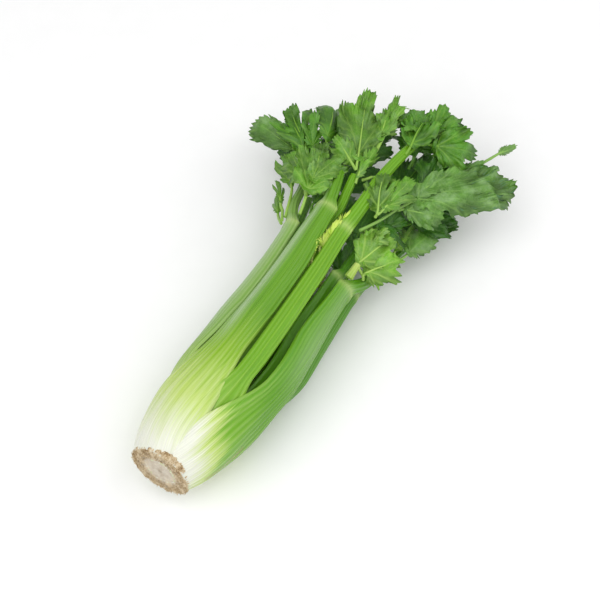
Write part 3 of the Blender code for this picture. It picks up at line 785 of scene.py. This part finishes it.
# ---- leaves ----
# The reach of half a blade's outline at angles off its length, as a share of its length, as seen from a
# point a little up from its base. The teeth stand on it out to TEETH_END.
BROAD = [(0, 1.0), (10, 0.96), (20, 0.72), (31, 0.88), (43, 0.86), (55, 0.58), (67, 0.54), (82, 0.34),
         (100, 0.2), (140, 0.14), (180, 0.12)]
FAN = [(0, 1.0), (8, 0.98), (15, 0.88), (22, 0.48), (31, 0.86), (40, 0.84), (50, 0.42), (62, 0.44),
       (78, 0.26), (104, 0.16), (140, 0.13), (180, 0.12)]
KITE = [(0, 1.0), (8, 0.98), (16, 0.93), (25, 0.86), (31, 0.68), (40, 0.52), (56, 0.34), (75, 0.23),
        (100, 0.16), (140, 0.13), (180, 0.12)]
NARROW = [(0, 1.0), (10, 0.92), (22, 0.74), (36, 0.62), (50, 0.55), (68, 0.42), (90, 0.30), (112, 0.2),
          (140, 0.15), (180, 0.12)]
BLADE_CENTRE = 0.12
TEETH_END = 98
# How wide a tooth is and how deep the cut beside it, in mm, how many teeth stand between deeper cuts, and how
# far apart the side veins are.
TOOTH_WIDTH, TOOTH_DEPTH, TEETH_TOGETHER = 4.4, 22.0, (3, 4)
SIDE_VEIN_PITCH = 6.5
# The least and the most degrees that a tooth takes up, and where between its two cuts its point is.
TOOTH_SPAN, TOOTH_POINT = (4.2, 13.0), 0.45
# How far blades may roll from the roll given, where their main veins run, and half a blade's thickness.
ROLL_SPREAD = 16
MAIN_VEINS = (-78, -39, 0, 39, 78)
HALF_BLADE = 0.17
# How high (mm) a blade stands between its main veins and between its side veins, how wide (mm) the main veins
# are drawn, and the side veins as a share of their pitch.
MAIN_RIDGE, SIDE_RIDGE, VEIN_WIDTH, SIDE_VEIN_WIDTH = 2.6, 1.1, 0.7, 0.11
# The radius of a leaflet's little stem, and of the midrib that it becomes.
STEM_RADIUS, MIDRIB_RADIUS = 1.3, 1.0
# A blade of this half width or more is as rumpled as its look says. The rumple is three sizes of waves: how
# high (mm) they are and how many there are to the millimetre.
FULL_HALF_WIDTH = 16
RUMPLES = ((7.0, 0.05), (4.2, 0.12), (1.8, 0.26))
# The rings of points from a blade's centre to its outline, as shares of the way.
RINGS = [0.0, 0.1, 0.2, 0.3, 0.4, 0.5, 0.6, 0.7, 0.79, 0.87, 0.94, 1.0]


class Look(NamedTuple):
    """How a leaflet is shaped: its outline, how deep its teeth are, how far (mm) the blade folds along its
    midrib and cups across it, how rumpled it is, how far its tip droops, and how much wider it is than the
    plain blade that stands for it."""

    outline: list
    teeth: float
    fold: float
    cup: float
    rumple: float
    droop: float
    widen: float


def blade_outline(rng, look, length):
    """Angles (radians, both ways round from the tip) and reaches right round a blade."""
    halves, rise, fall = [], TOOTH_POINT, 1 - TOOTH_POINT
    for side in (1, -1):
        half, at, since, cut = [], 0.0, 0, 0.0
        lean = rng.uniform(0.9, 1.08)
        while at < TEETH_END:
            here = along_curve(look.outline, at * lean)
            pitch = min(TOOTH_SPAN[1], max(TOOTH_SPAN[0], degrees(TOOTH_WIDTH / (length * here))))
            pitch *= rng.uniform(0.75, 1.25)
            size = look.teeth * TOOTH_DEPTH / length * rng.uniform(0.6, 1.2) * (1 - 0.4 * at / TEETH_END)
            since += 1
            deep = since >= rng.choice(TEETH_TOGETHER)
            next_cut = size * (rng.uniform(1.6, 2.4) if deep else 0.7)
            since = 0 if deep else since
            for k in range(4):
                t = k / 4 if at else rise + k * 0.14
                peak = (t / rise) ** 0.8 if t < rise else ((1 - t) / fall) ** 1.1
                valley = cut if t < rise else next_cut
                reach = along_curve(look.outline, (at + t * pitch) * lean) + mix((-valley, size * 0.5), peak)
                half.append((radians(at + (t - (0 if at else rise)) * pitch) * side, reach))
            at += pitch * (1 if at else fall)
            cut = next_cut
        for k in range(1, 9):
            angle = at + (180 - at) * k / 9
            half.append((radians(angle) * side, along_curve(look.outline, min(180, angle * lean)) * 0.98))
        halves.append(half)
    return halves[0] + [(pi, BLADE_CENTRE)] + halves[1][:0:-1]


def add_blade(shape, blade, look, seed):
    """Adds a blade and its little stem."""
    rng = random.Random(seed)
    tone = rng.uniform(0, 1)
    root, base, tip = (Vector(p) for p in (blade.root, blade.base, blade.tip))
    along = (tip - base).normalized()
    level = along.cross(Vector((0, 0, 1))).normalized()
    lean = blade.roll + rng.uniform(-ROLL_SPREAD, ROLL_SPREAD)
    face = Matrix.Rotation(radians(lean), 3, along) @ level.cross(along)
    across = face.cross(along)
    length, half = (tip - base).length, blade.width / 2 * look.widen
    outline = blade_outline(rng, look, length)
    widest = max(abs(r * sin(a)) for a, r in outline)
    roll = wander(rng, 2, 1.0)
    lobe_tilt = [rng.uniform(-1, 1), rng.uniform(-1, 1)]
    shift = Vector([rng.uniform(-50, 50) for k in range(3)])
    size = min(1.0, half / FULL_HALF_WIDTH)

    def spine(s):
        """The midrib at a share of the blade's length."""
        s = max(s, 0)
        rise = blade.arch * sin(pi * min(s, 1)) - look.droop * max(0, s - 0.35) ** 2 * length
        return base + along * s * length + across * float(roll(s * 2)) * 0.03 * length * s + face * rise

    points, vein, side_vein, fold = [], [], [], []
    for share in RINGS:
        for a, r in outline:
            s = BLADE_CENTRE + (1 - BLADE_CENTRE) * r * share * cos(a)
            wide = r * share * sin(a) / widest
            off = abs(wide)
            nearest = min(abs(np.degrees(a) - v) for v in MAIN_VEINS)
            crease = sin(pi / 2 * min(nearest / 19.5, 1)) * share
            branch = ((s * length - off * half * 0.9) / SIDE_VEIN_PITCH) % 1
            ripple = 0.5 - abs(branch - 0.5)
            h = -look.fold * off * (1 - 0.3 * off) - look.cup * off * off
            h += MAIN_RIDGE * size * crease * (1 - 0.3 * share)
            h += SIDE_RIDGE * size * ripple * min(1, off * 3) * share
            h += lobe_tilt[wide > 0] * 5 * size * max(0, off - 0.35) ** 1.5 * 2
            flat = Vector((s * length, wide * half, 0)) + shift
            waves = [high * noise.noise(flat * often) for high, often in RUMPLES]
            rumple = waves[0] + waves[1] * (0.3 + share) + waves[2] * (0.3 + share)
            h += look.rumple * size * rumple * (0.25 + 0.75 * share)
            points.append(spine(s) + across * wide * half + face * h)
            reach = r * share * length * abs(sin(radians(nearest)))
            vein.append(exp(-((reach / VEIN_WIDTH) ** 2)) * (1 - 0.6 * share))
            side_vein.append(exp(-((ripple / SIDE_VEIN_WIDTH) ** 2)) * min(1, off * 3))
            # How low the blade lies here, which sets the shade painted into its folds.
            fold.append(max(0.0, 0.5 - h / 7))
    count = len(outline)
    faces = ring_faces(len(RINGS), count)
    thick, total = face * HALF_BLADE, len(points)
    edge = total - count
    both = faces + [tuple(total + i for i in f[::-1]) for f in faces]
    both += [(edge + j, total + edge + j, total + edge + (j + 1) % count, edge + (j + 1) % count)
             for j in range(count)]
    shape.add([p + thick for p in points] + [p - thick for p in points], both, vein=vein + vein,
              under=[0] * total + [1] * total, side_vein=side_vein + side_vein, fold=fold + fold, stem=0.0,
              tone=tone)
    # The little stem, which goes on under the blade as its midrib.
    sag = (base - root).length * 0.06
    stem = [root.lerp(base, k / 6) - Vector((0, 0, sag * sin(pi * k / 6))) for k in range(6)]
    if blade.heel:
        stem = smooth_path([blade.heel, root], 6)[:-1] + stem
    first = len(stem)
    stem += [spine(k / 10 * 0.7) - face * 0.5 for k in range(1, 11)]
    radii = [STEM_RADIUS - 0.2 * k / first for k in range(first)]
    radii += [MIDRIB_RADIUS - 0.08 * k for k in range(10)]
    tube_points, tube_faces = tube(stem, radii)
    shape.add(tube_points, tube_faces, vein=1.0, under=0.0, side_vein=0.0, fold=0.0, stem=0.85, tone=tone)


# ---- crown, stub and fibres ----
# Where round the crown its rim flares over the stalks' feet, how wide that stretch is (degrees), how far out
# it goes and how far it slopes back.
FLARE_AT, FLARE_WIDTH, FLARE_OUT, FLARE_BACK = 28, 34, 2.6, 2.8


def flare(angle):
    """How much the rim flares at an angle round the crown, from 0 to 1."""
    off = (angle - FLARE_AT + 180) % 360 - 180
    return exp(-((off / FLARE_WIDTH) ** 2))


# Points round the crown and rings over its cut face, and how many torn fibres stand on it.
CROWN_POINTS, CROWN_RINGS, FIBRES = 180, 26, 760
# On which shares of the cut's radius the crust and the fibres stand, and where its lip slopes back.
CRUST, FIBRE_BAND, LIP_BAND = (0.5, 0.75), (0.62, 1.06), (0.92, 1.0)
FIBRE_LENGTH, FIBRE_RADIUS = (0.7, 2.2), (0.12, 0.34)


def crown_shape():
    """The cut face with its ragged rim, torn fibres on it, and the hub that the stalks grow from."""
    rng = random.Random(11)
    edge, rough = wander(rng, 9, 1.0), wander(rng, 7, 1.0)
    shape = Shape()
    count, rings = CROWN_POINTS, CROWN_RINGS
    limits = [CUT_RADIUS + 0.4 + 0.7 * float(edge(2 * pi * k / count * 3)) + rng.uniform(-0.7, 0.6)
              + FLARE_OUT * flare(360 * k / count) for k in range(count)]
    points, rim = [], []
    for i in range(rings + 3):
        for k in range(count):
            angle, limit = 360 * k / count, limits[k]
            back = FLARE_BACK * flare(angle)
            if i <= rings:
                share = i / rings
                crust = ease(share, CRUST)
                jag = rng.uniform(-0.6, 0.6) + 0.5 * float(rough(radians(angle) * 4 + share * 7))
                dip = 0.5 - 0.5 * crust + jag * (0.15 + crust) * 0.8 + back * ease(share, LIP_BAND)
                points.append(Vector((dip, 0, 0)) + outward(angle) * limit * max(share, 0.001))
                rim.append(share)
            else:
                x, radius = ((1.6, limit + 0.5), (CROWN_PLATE, limit))[i - rings - 1]
                points.append(Vector((x + back, 0, 0)) + outward(angle) * radius)
                rim.append(1.0)
    for x, radius in ((CROWN_PLATE + 1, HUB_RADIUS[0]), (HUB_LENGTH, HUB_RADIUS[1])):
        points += [Vector((x, 0, 0)) + outward(360 * k / count) * radius for k in range(count)]
        rim += [0.2] * count
    shape.add(points, closed_faces(rings + 5, count), rim=rim, torn=0.0)
    for k in range(FIBRES):
        angle = rng.uniform(0, 360)
        radius = CUT_RADIUS * rng.uniform(*FIBRE_BAND)
        lap = flare(angle) * ease(radius / CUT_RADIUS, (0.94, 1.04))
        foot = Vector((rng.uniform(-0.2, 0.5) + FLARE_BACK * lap, 0, 0))
        foot += outward(angle) * (radius + FLARE_OUT * lap)
        lean = outward(angle) * rng.uniform(-0.7, 0.7) + outward(angle + 90) * rng.uniform(-1, 1)
        reach = rng.uniform(*FIBRE_LENGTH)
        path = [foot + (lean * t + Vector((-0.5, 0, 0)) * t * (1.4 - t)) * reach for t in (0, 0.5, 1)]
        fat = rng.uniform(*FIBRE_RADIUS)
        shape.add(*tube(path, [fat, fat * 0.8, 0.05], 5), rim=1.0, torn=rng.uniform(0.2, 1.0))
    return shape


# The stub's outline as shares of its length and of its radius, its thickness as a share of the plain one's,
# and how many points go round it.
STUB_STEPS = [(0, 1), (0.2, 0.94), (0.4, 0.9), (0.6, 0.87), (0.8, 0.86), (0.93, 0.88), (0.98, 0.82),
              (0.95, 0.6), (0.93, 0.3)]
STUB_THICKNESS, STUB_SIDES = 0.84, 28


def stub_shape():
    """The stub: a short round bar, cut across, with a slightly hollow end."""
    foot, end = Vector(CUT_STUB[0]), Vector(CUT_STUB[1])
    rng = random.Random(5)
    path = [foot.lerp(end, t) for t, size in STUB_STEPS]
    radii = [mix(CUT_STUB[2], t) * size * STUB_THICKNESS for t, size in STUB_STEPS]
    ahead = (end - foot).normalized()
    across = ahead.cross(Vector((0, 0, 1))).normalized()
    points = []
    for centre, radius in zip(path, radii):
        for k in range(STUB_SIDES):
            a = 2 * pi * k / STUB_SIDES
            size = radius * (1 + 0.05 * cos(7 * a)) + rng.uniform(-0.06, 0.06)
            points.append(centre + (across * cos(a) + across.cross(ahead) * sin(a)) * size)
    shape = Shape()
    shape.add(points, closed_faces(len(path), STUB_SIDES),
              along=[100 - 8 * (i // STUB_SIDES) for i in range(len(points))],
              around=[(i % STUB_SIDES) * 0.8 for i in range(len(points))],
              rib=[float(i % 4 == 0) for i in range(len(points))],
              **dict.fromkeys(("edge", "scar", "node", "bloom", "side"), 0.0))
    return shape


# ---- the pieces ----
# Stalk colours, as display values: the full green, the yellower green under it and the ribs' green.
GREEN_OUTER = ((94, 150, 22), (128, 174, 20), (128, 174, 50))
GREEN_RIGHT = ((84, 146, 6), (104, 166, 8), (138, 186, 62))
GREEN_BRIGHT = ((102, 160, 10), (122, 174, 16), (148, 194, 62))
GREEN_PALE = ((118, 162, 62), (140, 180, 66), (174, 202, 130))
# The inner green is partly the inner stalks' own colour and partly painted shade: it is darker so that the
# seams where these stalks show read dark.
GREEN_INNER = ((78, 138, 12), (92, 150, 14), (92, 148, 22))
GREEN_HEART = ((92, 156, 20), (116, 172, 30), (130, 182, 50))
GREEN_STUB = ((150, 186, 70), (176, 200, 96), (206, 218, 150))
# What stalk_material takes for each stalk. The others have one look for the heart and one for the rest.
# The short blanching of the hidden stalks is painted shade as well: it keeps the seams where they show dark
# green, not pale.
HIDDEN_LOOK = (4, 12, 30), 0.3, 0.38
STALK_LOOKS = {
    "outer_stalk_top": (GREEN_OUTER, (20, 50, 86), 0.36, 0.28),
    "outer_stalk_right": (GREEN_RIGHT, (12, 25, 38), 0.34, 0.2, 22, 0.4),
    "outer_stalk_under": (GREEN_OUTER, (18, 46, 80), 0.45, 0.34),
    "outer_stalk_left": (GREEN_OUTER, (18, 50, 90), 0.45, 0.34),
    "middle_stalk_top": (GREEN_BRIGHT, (12, 24, 40), 0.4, 0.30),
    "middle_stalk_left": (GREEN_PALE, (14, 40, 70), 0.5, 0.30),
    "inner_stalk_top": (GREEN_BRIGHT, *HIDDEN_LOOK),
}
# Leaf colours: the top, the underside, the veins, and how strong the painted sheen, a greyish reflection
# painted on the top, is.
MID = ((84, 142, 14), (130, 164, 88), (150, 190, 80), 0.4)
DARK = ((46, 104, 4), (80, 126, 44), (90, 142, 30), 0.12)
LIVELY = ((68, 130, 8), (112, 156, 66), (122, 170, 50), 0.2)
BRIGHT = ((102, 158, 28), (140, 178, 90), (166, 202, 92), 0.4)
GREY = ((82, 132, 40), (76, 124, 76), (134, 178, 82), 0.65)
PALE = ((180, 206, 74), (190, 214, 100), (214, 228, 130), 0.1)
LEAF_LOOKS = {
    "leaf_left": (MID, Look(FAN, 0.14, 3, 2, 1.0, 0.1, 1.2)),
    "leaf_left_1": (GREY, Look(KITE, 0.14, 3, 1, 1.2, 0.1, 1.05)),
    "leaf_left_2": (LIVELY, Look(FAN, 0.15, 3, 1, 1.2, 0.08, 1.2)),
    "leaf_top_1": (MID, Look(BROAD, 0.14, 4, 2, 1.2, 0.12, 1.05)),
    "leaf_top": (DARK, Look(BROAD, 0.13, 3, 2, 1.2, 0.12, 1.2)),
    "leaf_top_2": (LIVELY, Look(KITE, 0.12, 6, 4, 0.9, 0.6, 1.15)),
    "leaf_centre": (MID, Look(BROAD, 0.16, 4, 1, 1.3, 0.03, 1.05)),
    "leaf_bright": (LIVELY, Look(BROAD, 0.16, 3, 2, 1.3, 0.12, 1.1)),
    "leaf_bright_2": (LIVELY, Look(BROAD, 0.16, 3, 1, 1.2, 0.05, 1.4)),
    "leaf_bright_4": (GREY, Look(KITE, 0.13, 5, -1, 1.6, 0.03, 1.15)),
    "leaf_bright_5": (MID, Look(FAN, 0.13, 4, 2, 1.3, 0.05, 1.0)),
    "leaf_inner_right": (DARK, Look(BROAD, 0.13, 3, 2, 1.0, 0.08, 1.15)),
    "leaf_inner_right_3": (GREY, Look(NARROW, 0.1, 2, 1, 0.5, 0.0, 1.0)),
    "leaf_inner_right_4": (BRIGHT, Look(BROAD, 0.12, 3, 1, 1.0, 0.08, 1.1)),
    "leaf_right": (BRIGHT, Look(BROAD, 0.14, 3, 2, 1.2, 0.05, 1.35)),
    "leaf_right_2": (GREY, Look(KITE, 0.12, 5, 1, 1.2, 0.0, 1.2)),
    "leaf_low": (DARK, Look(BROAD, 0.13, 2, 2, 0.8, 0.0, 1.1)),
    "leaf_under": (DARK, Look(BROAD, 0.13, 2, 1, 0.6, 0.0, 1.1)),
    "leaf_inner": (DARK, Look(BROAD, 0.13, 3, 2, 1.0, 0.05, 1.1)),
    "leaf_heart": (PALE, Look(NARROW, 0.2, 1, 0.6, 2.2, 0.05, 1.3)),
}


def leaf_look(name):
    """The look with the longest matching name."""
    return LEAF_LOOKS[max((key for key in LEAF_LOOKS if name.startswith(key)), key=len)]


DARK_LEAVES = ("leaf_inner", "leaf_low", "leaf_under", "leaf_bright_1", "leaf_bright_2", "leaf_bright_3")


def slot_of(name):
    """The material slot of a stalk or leaflet."""
    if "heart" in name:
        return "heart"
    if name.startswith("leaf"):
        return "dark_leaf" if name.startswith(DARK_LEAVES) else "leaf"
    return name.split("_")[0] + "_stalk"


def make_pieces():
    """Every piece of the head, each in place of the node it is named after."""
    crown_shape().build("crown", crown_material("cut_crown"), "crown", ["root_crown"])
    for k, (name, stalk) in enumerate(STALKS.items()):
        plain = (GREEN_HEART if stalk.layer == "heart" else GREEN_INNER, *HIDDEN_LOOK)
        skin = stalk_material(name, k * 3.7, *STALK_LOOKS.get(name, plain))
        stalk_shape(name, stalk, 100 + k).build("seen_" + name, skin, slot_of(name), [name])
    for k, (name, blades) in enumerate(LEAFLETS.items()):
        colours, look = leaf_look(name)
        shape = Shape()
        for m, blade in enumerate(blades):
            add_blade(shape, blade, look, 200 + k + 50 * m)
        shape.build("seen_" + name, leaf_material(name, k * 0.37, *colours), slot_of(name), [name])
    stub = stalk_material("cut_side_shoot", 77.0, GREEN_STUB, (4, 30, 60), 0.3, 0.45)
    stub_shape().build("seen_cut_side_shoot", stub, "cut_shoot", ["cut_side_shoot"])


# ---- floor, light and camera ----
CAMERA_AZIMUTH, CAMERA_ELEVATION = -58.2, 56.5
# Metres from the cut, the focal length in widths of the picture, and how far right of the view's axis and
# above it the centre of the cut lies, as shares of its distance.
CAMERA_DISTANCE, FOCAL = 1.45, 3.35
CUT_IN_VIEW = (-0.06985, -0.08547)
SENSOR = 36
FLOOR_HALF_WIDTH, SKY_STRENGTH = 3, 0.6
# Soft square lights that face the middle of the floor: place, size (m) and power (W).
LIGHTS = {"key": ((-0.75, 0.0, 1.3), 1.6, 13), "fill": ((0.5, -0.9, 1.3), 1.5, 8.5)}


def make_stage():
    """A plain pale floor under soft light."""
    mesh = bpy.data.meshes.new("floor")
    h = FLOOR_HALF_WIDTH
    mesh.from_pydata([(-h, -h, 0), (h, -h, 0), (h, h, 0), (-h, h, 0)], [], [(0, 1, 2, 3)])
    mesh.materials.append(floor_material())
    floor = bpy.data.objects.new("floor", mesh)
    bpy.context.scene.collection.objects.link(floor)
    world = bpy.data.worlds.new("soft_sky")
    bpy.context.scene.world = world
    world.use_nodes = True
    sky = world.node_tree.nodes["Background"].inputs
    sky["Color"].default_value, sky["Strength"].default_value = (1, 1, 1, 1), SKY_STRENGTH
    for name, (place, size, power) in LIGHTS.items():
        data = bpy.data.lights.new(name, "AREA")
        data.size, data.energy = size, power
        lamp = bpy.data.objects.new(name, data)
        lamp.location = place
        lamp.rotation_euler = (-Vector(place)).to_track_quat("-Z", "Y").to_euler()
        bpy.context.scene.collection.objects.link(lamp)
    bpy.context.scene.view_settings.view_transform = "Standard"


def make_camera():
    """Looks at the head at the camera's angle, with the centre of its cut at CUT_IN_VIEW."""
    az, el = radians(CAMERA_AZIMUTH), radians(CAMERA_ELEVATION)
    back = Vector((sin(az) * cos(el), -cos(az) * cos(el), sin(el)))
    right = (-back).cross(Vector((0, 0, 1))).normalized()
    up = back.cross(right)
    u, v = CUT_IN_VIEW
    data = bpy.data.cameras.new("camera")
    data.sensor_width, data.lens, data.clip_start = SENSOR, SENSOR * FOCAL, 0.01
    camera = bpy.data.objects.new("camera", data)
    place = SHIFT + CAMERA_DISTANCE * (back - u * right - v * up)
    camera.matrix_world = Matrix.Translation(place) @ Matrix((right, up, back)).transposed().to_4x4()
    bpy.context.scene.collection.objects.link(camera)
    bpy.context.scene.camera = camera


make_camera()
make_stage()
make_pieces()
bpy.context.view_layer.update()
